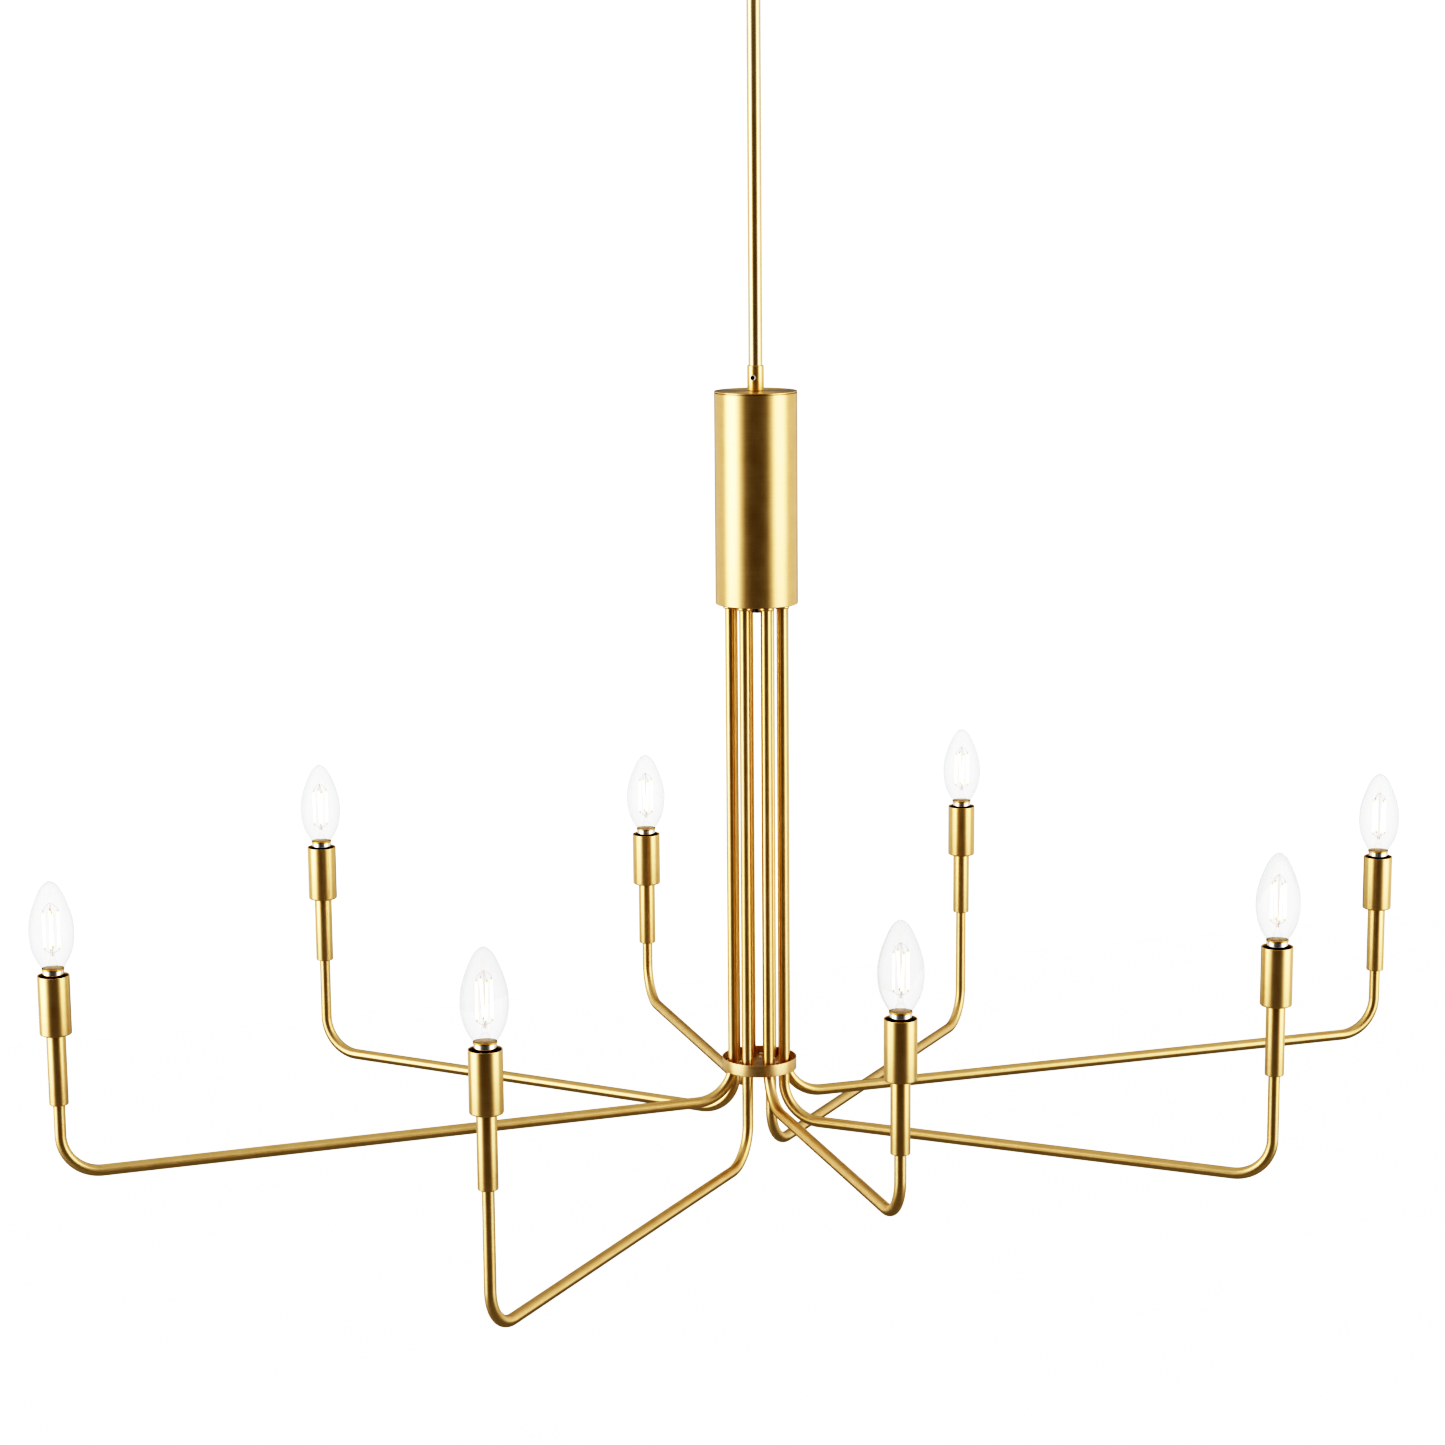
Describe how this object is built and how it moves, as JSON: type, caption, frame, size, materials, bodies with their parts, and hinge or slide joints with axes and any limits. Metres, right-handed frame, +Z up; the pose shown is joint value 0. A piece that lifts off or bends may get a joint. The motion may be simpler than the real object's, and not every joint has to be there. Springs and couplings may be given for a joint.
{
  "type": "multi arm chandelier",
  "caption": "Brass chandelier: slim arms drop from a cylindrical housing through a hub ring, run out level and turn up to candle cups; it hangs on a rod with a swivel and canopy.",
  "frame": {"origin": "centre of the ceiling bracket's flat top face, which lies against the ceiling", "axes": "+Z up; +X along the two long arms; +Y along the two short arms"},
  "size_m": [1.2041, 0.7156, 1.0618],
  "materials": {
    "brushed_brass": "satin brushed, clear lacquered",
    "steel": "bright nickel plated",
    "zinc_steel": "zinc plated",
    "black_plastic": "matt black phenolic",
    "pale_plastic": "matt moulded",
    "clear_glass": "clear blown glass",
    "lamp_filament": "warm white coated filament",
    "tan_cement": "satin insulating ring"
  },
  "bodies": {
    "ceiling_mount": {"ceiling_bracket": "zinc_steel", "ceiling_nipple": "zinc_steel", "swivel_body": "brushed_brass"},
    "canopy": {"ceiling_canopy": "brushed_brass", "canopy_collar": "brushed_brass"},
    "swivel": {"swivel_yoke": "brushed_brass", "swivel_pin": "steel"},
    "fixture": {"rod_eye": "brushed_brass", "downrod": "brushed_brass", "stem_coupler": "brushed_brass", "coupler_set_screw": "steel", "housing_cap": "brushed_brass", "housing_shell": "brushed_brass", "housing_base_plate": "brushed_brass", "tie_rod": "zinc_steel", "tie_rod_top_nut": "zinc_steel", "tie_rod_bottom_nut": "zinc_steel", "terminal_block": "pale_plastic", "hub_ring": "brushed_brass", "hub_plate": "brushed_brass", "arm_1": "brushed_brass", "candle_sleeve_1": "brushed_brass", "candle_cup_1": "brushed_brass", "lamp_socket_1": "black_plastic", "arm_2": "brushed_brass", "candle_sleeve_2": "brushed_brass", "candle_cup_2": "brushed_brass", "lamp_socket_2": "black_plastic", "arm_3": "brushed_brass", "candle_sleeve_3": "brushed_brass", "candle_cup_3": "brushed_brass", "lamp_socket_3": "black_plastic", "arm_4": "brushed_brass", "candle_sleeve_4": "brushed_brass", "candle_cup_4": "brushed_brass", "lamp_socket_4": "black_plastic", "arm_5": "brushed_brass", "candle_sleeve_5": "brushed_brass", "candle_cup_5": "brushed_brass", "lamp_socket_5": "black_plastic", "arm_6": "brushed_brass", "candle_sleeve_6": "brushed_brass", "candle_cup_6": "brushed_brass", "lamp_socket_6": "black_plastic", "arm_7": "brushed_brass", "candle_sleeve_7": "brushed_brass", "candle_cup_7": "brushed_brass", "lamp_socket_7": "black_plastic", "arm_8": "brushed_brass", "candle_sleeve_8": "brushed_brass", "candle_cup_8": "brushed_brass", "lamp_socket_8": "black_plastic"},
    "lamp_1": {"bulb_1": "clear_glass"},
    "lamp_2": {"bulb_2": "clear_glass"},
    "lamp_3": {"bulb_3": "clear_glass"},
    "lamp_4": {"bulb_4": "clear_glass"},
    "lamp_5": {"bulb_5": "clear_glass"},
    "lamp_6": {"bulb_6": "clear_glass"},
    "lamp_7": {"bulb_7": "clear_glass"},
    "lamp_8": {"bulb_8": "clear_glass"}
  },
  "joints": [
    {"name": "swivel_turn", "type": "hinge", "parent": "ceiling_mount", "child": "swivel", "pos_m": [0, 0, -0.0395], "axis": [0, 0, 1], "range_deg": [-175, 175]},
    {"name": "swivel_tilt", "type": "hinge", "parent": "swivel", "child": "fixture", "pos_m": [0, 0, -0.054], "axis": [0, 1, 0], "range_deg": [-25, 25]},
    {"name": "canopy_drop", "type": "slide", "parent": "ceiling_mount", "child": "canopy", "axis": [0, 0, -1], "range_m": [0, 0.012]},
    {"name": "bulb_1_unscrew", "type": "slide", "parent": "fixture", "child": "lamp_1", "axis": [0, 0, 1], "range_m": [0, 0.03]},
    {"name": "bulb_2_unscrew", "type": "slide", "parent": "fixture", "child": "lamp_2", "axis": [0, 0, 1], "range_m": [0, 0.03]},
    {"name": "bulb_3_unscrew", "type": "slide", "parent": "fixture", "child": "lamp_3", "axis": [0, 0, 1], "range_m": [0, 0.03]},
    {"name": "bulb_4_unscrew", "type": "slide", "parent": "fixture", "child": "lamp_4", "axis": [0, 0, 1], "range_m": [0, 0.03]},
    {"name": "bulb_5_unscrew", "type": "slide", "parent": "fixture", "child": "lamp_5", "axis": [0, 0, 1], "range_m": [0, 0.03]},
    {"name": "bulb_6_unscrew", "type": "slide", "parent": "fixture", "child": "lamp_6", "axis": [0, 0, 1], "range_m": [0, 0.03]},
    {"name": "bulb_7_unscrew", "type": "slide", "parent": "fixture", "child": "lamp_7", "axis": [0, 0, 1], "range_m": [0, 0.03]},
    {"name": "bulb_8_unscrew", "type": "slide", "parent": "fixture", "child": "lamp_8", "axis": [0, 0, 1], "range_m": [0, 0.03]}
  ]
}
